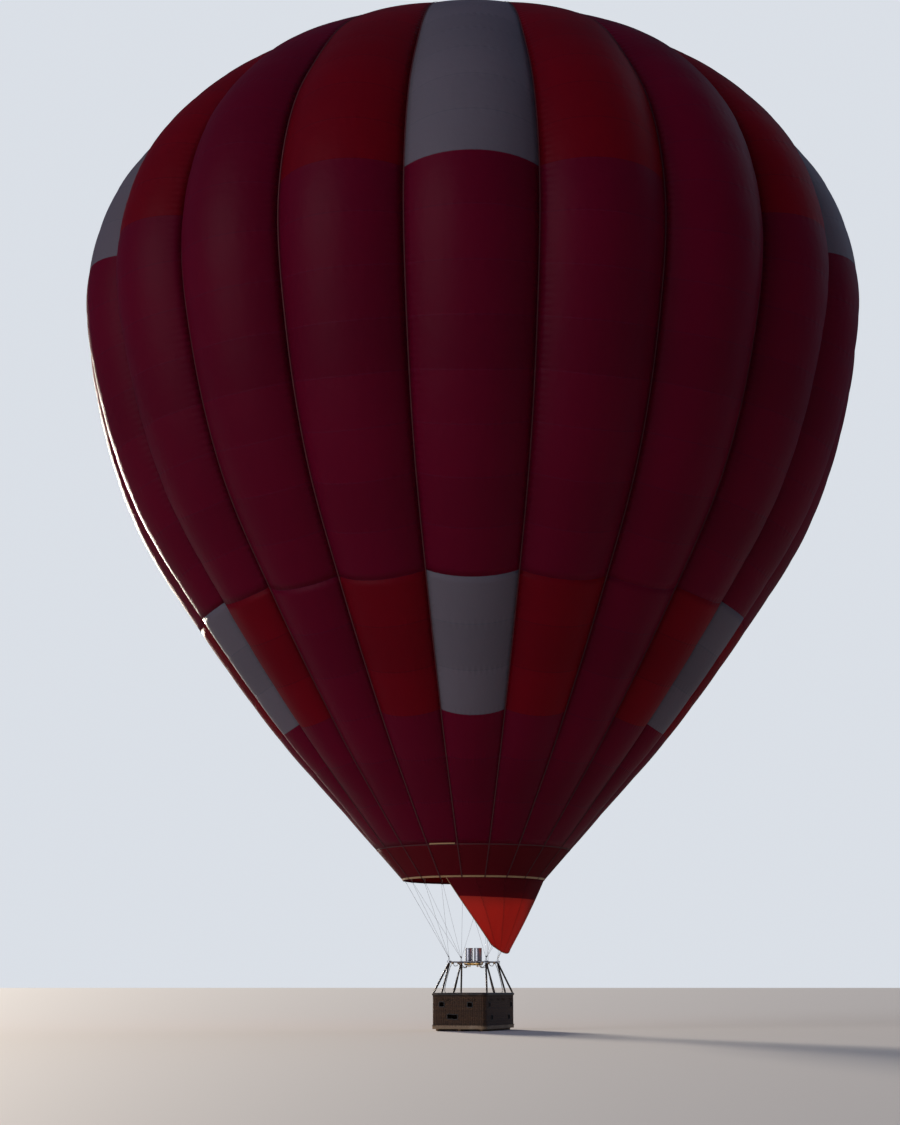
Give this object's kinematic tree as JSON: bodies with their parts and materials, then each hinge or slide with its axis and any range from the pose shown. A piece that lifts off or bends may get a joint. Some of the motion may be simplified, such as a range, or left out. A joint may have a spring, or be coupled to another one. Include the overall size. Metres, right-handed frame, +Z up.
{
  "type": "hot air balloon",
  "caption": "Hot air balloon with a bulging gored envelope in red, burgundy and silver, parachute valve, scoop, gimballed burners and a partitioned wicker basket.",
  "frame": {"origin": "the envelope's centre of lift: on its axis, at the height where it is widest, 22.9 m above the underside of the basket's runners", "axes": "+Z up; +X towards the scoop, square to a long side of the basket; +Y along the basket's length"},
  "size_m": [25.2924, 25.2924, 32.3956],
  "materials": {
    "silver_fabric": "silver-grey coated nylon with a soft sheen",
    "red_fabric": "bright red to crimson coated ripstop nylon",
    "dark_fabric": "dark burgundy coated ripstop nylon",
    "band_fabric": "matt heat-proof cloth, red-brown",
    "scoop_fabric": "red heat-proof cloth that glows against the light",
    "valve_fabric": "crimson coated nylon",
    "tape": "pale woven load tape",
    "steel": "brushed stainless steel",
    "brass": "machined brass",
    "upright_cover": "padded leather sleeve",
    "wicker": "woven willow",
    "rim_leather": "dark padded leather",
    "timber": "worn birch plywood and hardwood",
    "cylinder_steel": "brushed steel cylinder"
  },
  "bodies": {
    "balloon": {"gore_01": "red_fabric", "gore_02": "silver_fabric", "gore_03": "red_fabric", "gore_04": "dark_fabric", "gore_05": "red_fabric", "gore_06": "silver_fabric", "gore_07": "red_fabric", "gore_08": "dark_fabric", "gore_09": "red_fabric", "gore_10": "silver_fabric", "gore_11": "red_fabric", "gore_12": "dark_fabric", "gore_13": "red_fabric", "gore_14": "silver_fabric", "gore_15": "red_fabric", "gore_16": "dark_fabric", "gore_17": "red_fabric", "gore_18": "silver_fabric", "gore_19": "red_fabric", "gore_20": "dark_fabric", "mouth_band": "band_fabric", "crown_ring": "tape", "scoop": "scoop_fabric", "flying_wires_front_right": "steel", "flying_wires_back_right": "steel", "flying_wires_back_left": "steel", "flying_wires_front_left": "steel", "burner_frame": "steel", "upright_front_left_outer": "upright_cover", "upright_front_left_inner": "upright_cover", "upright_front_right_outer": "upright_cover", "upright_front_right_inner": "upright_cover", "upright_back_left_outer": "upright_cover", "upright_back_left_inner": "upright_cover", "upright_back_right_outer": "upright_cover", "upright_back_right_inner": "upright_cover", "runner_1": "timber", "runner_2": "timber", "runner_3": "timber", "basket_floor": "timber", "basket_end_front": "wicker", "basket_end_back": "wicker", "basket_side_left": "wicker", "basket_side_right": "wicker", "bulkhead_front": "wicker", "bulkhead_back": "wicker", "divider_front": "wicker", "divider_back": "wicker", "padded_rim": "rim_leather", "fuel_cylinder_front_left": "cylinder_steel", "fuel_cylinder_front_right": "cylinder_steel", "fuel_cylinder_back_left": "cylinder_steel", "fuel_cylinder_back_right": "cylinder_steel"},
    "parachute": {"parachute_valve": "valve_fabric"},
    "gimbal": {"gimbal_ring": "steel"},
    "burner": {"burner_block": "brass", "burner_can_left": "steel", "burner_can_right": "steel", "burner_coil_left": "brass", "burner_coil_right": "brass"}
  },
  "joints": [
    {"name": "parachute_pull", "type": "slide", "parent": "balloon", "child": "parachute", "axis": [0, 0, -1], "range_m": [0, 1.5], "stiffness_N_per_m": 300, "springref_m": -1.4},
    {"name": "gimbal_tilt", "type": "hinge", "parent": "balloon", "child": "gimbal", "pos_m": [0, 0, -20.84], "axis": [0, 1, 0], "range_deg": [-15, 15]},
    {"name": "burner_tilt", "type": "hinge", "parent": "gimbal", "child": "burner", "pos_m": [0, 0, -20.84], "axis": [1, 0, 0], "range_deg": [-15, 15]}
  ]
}
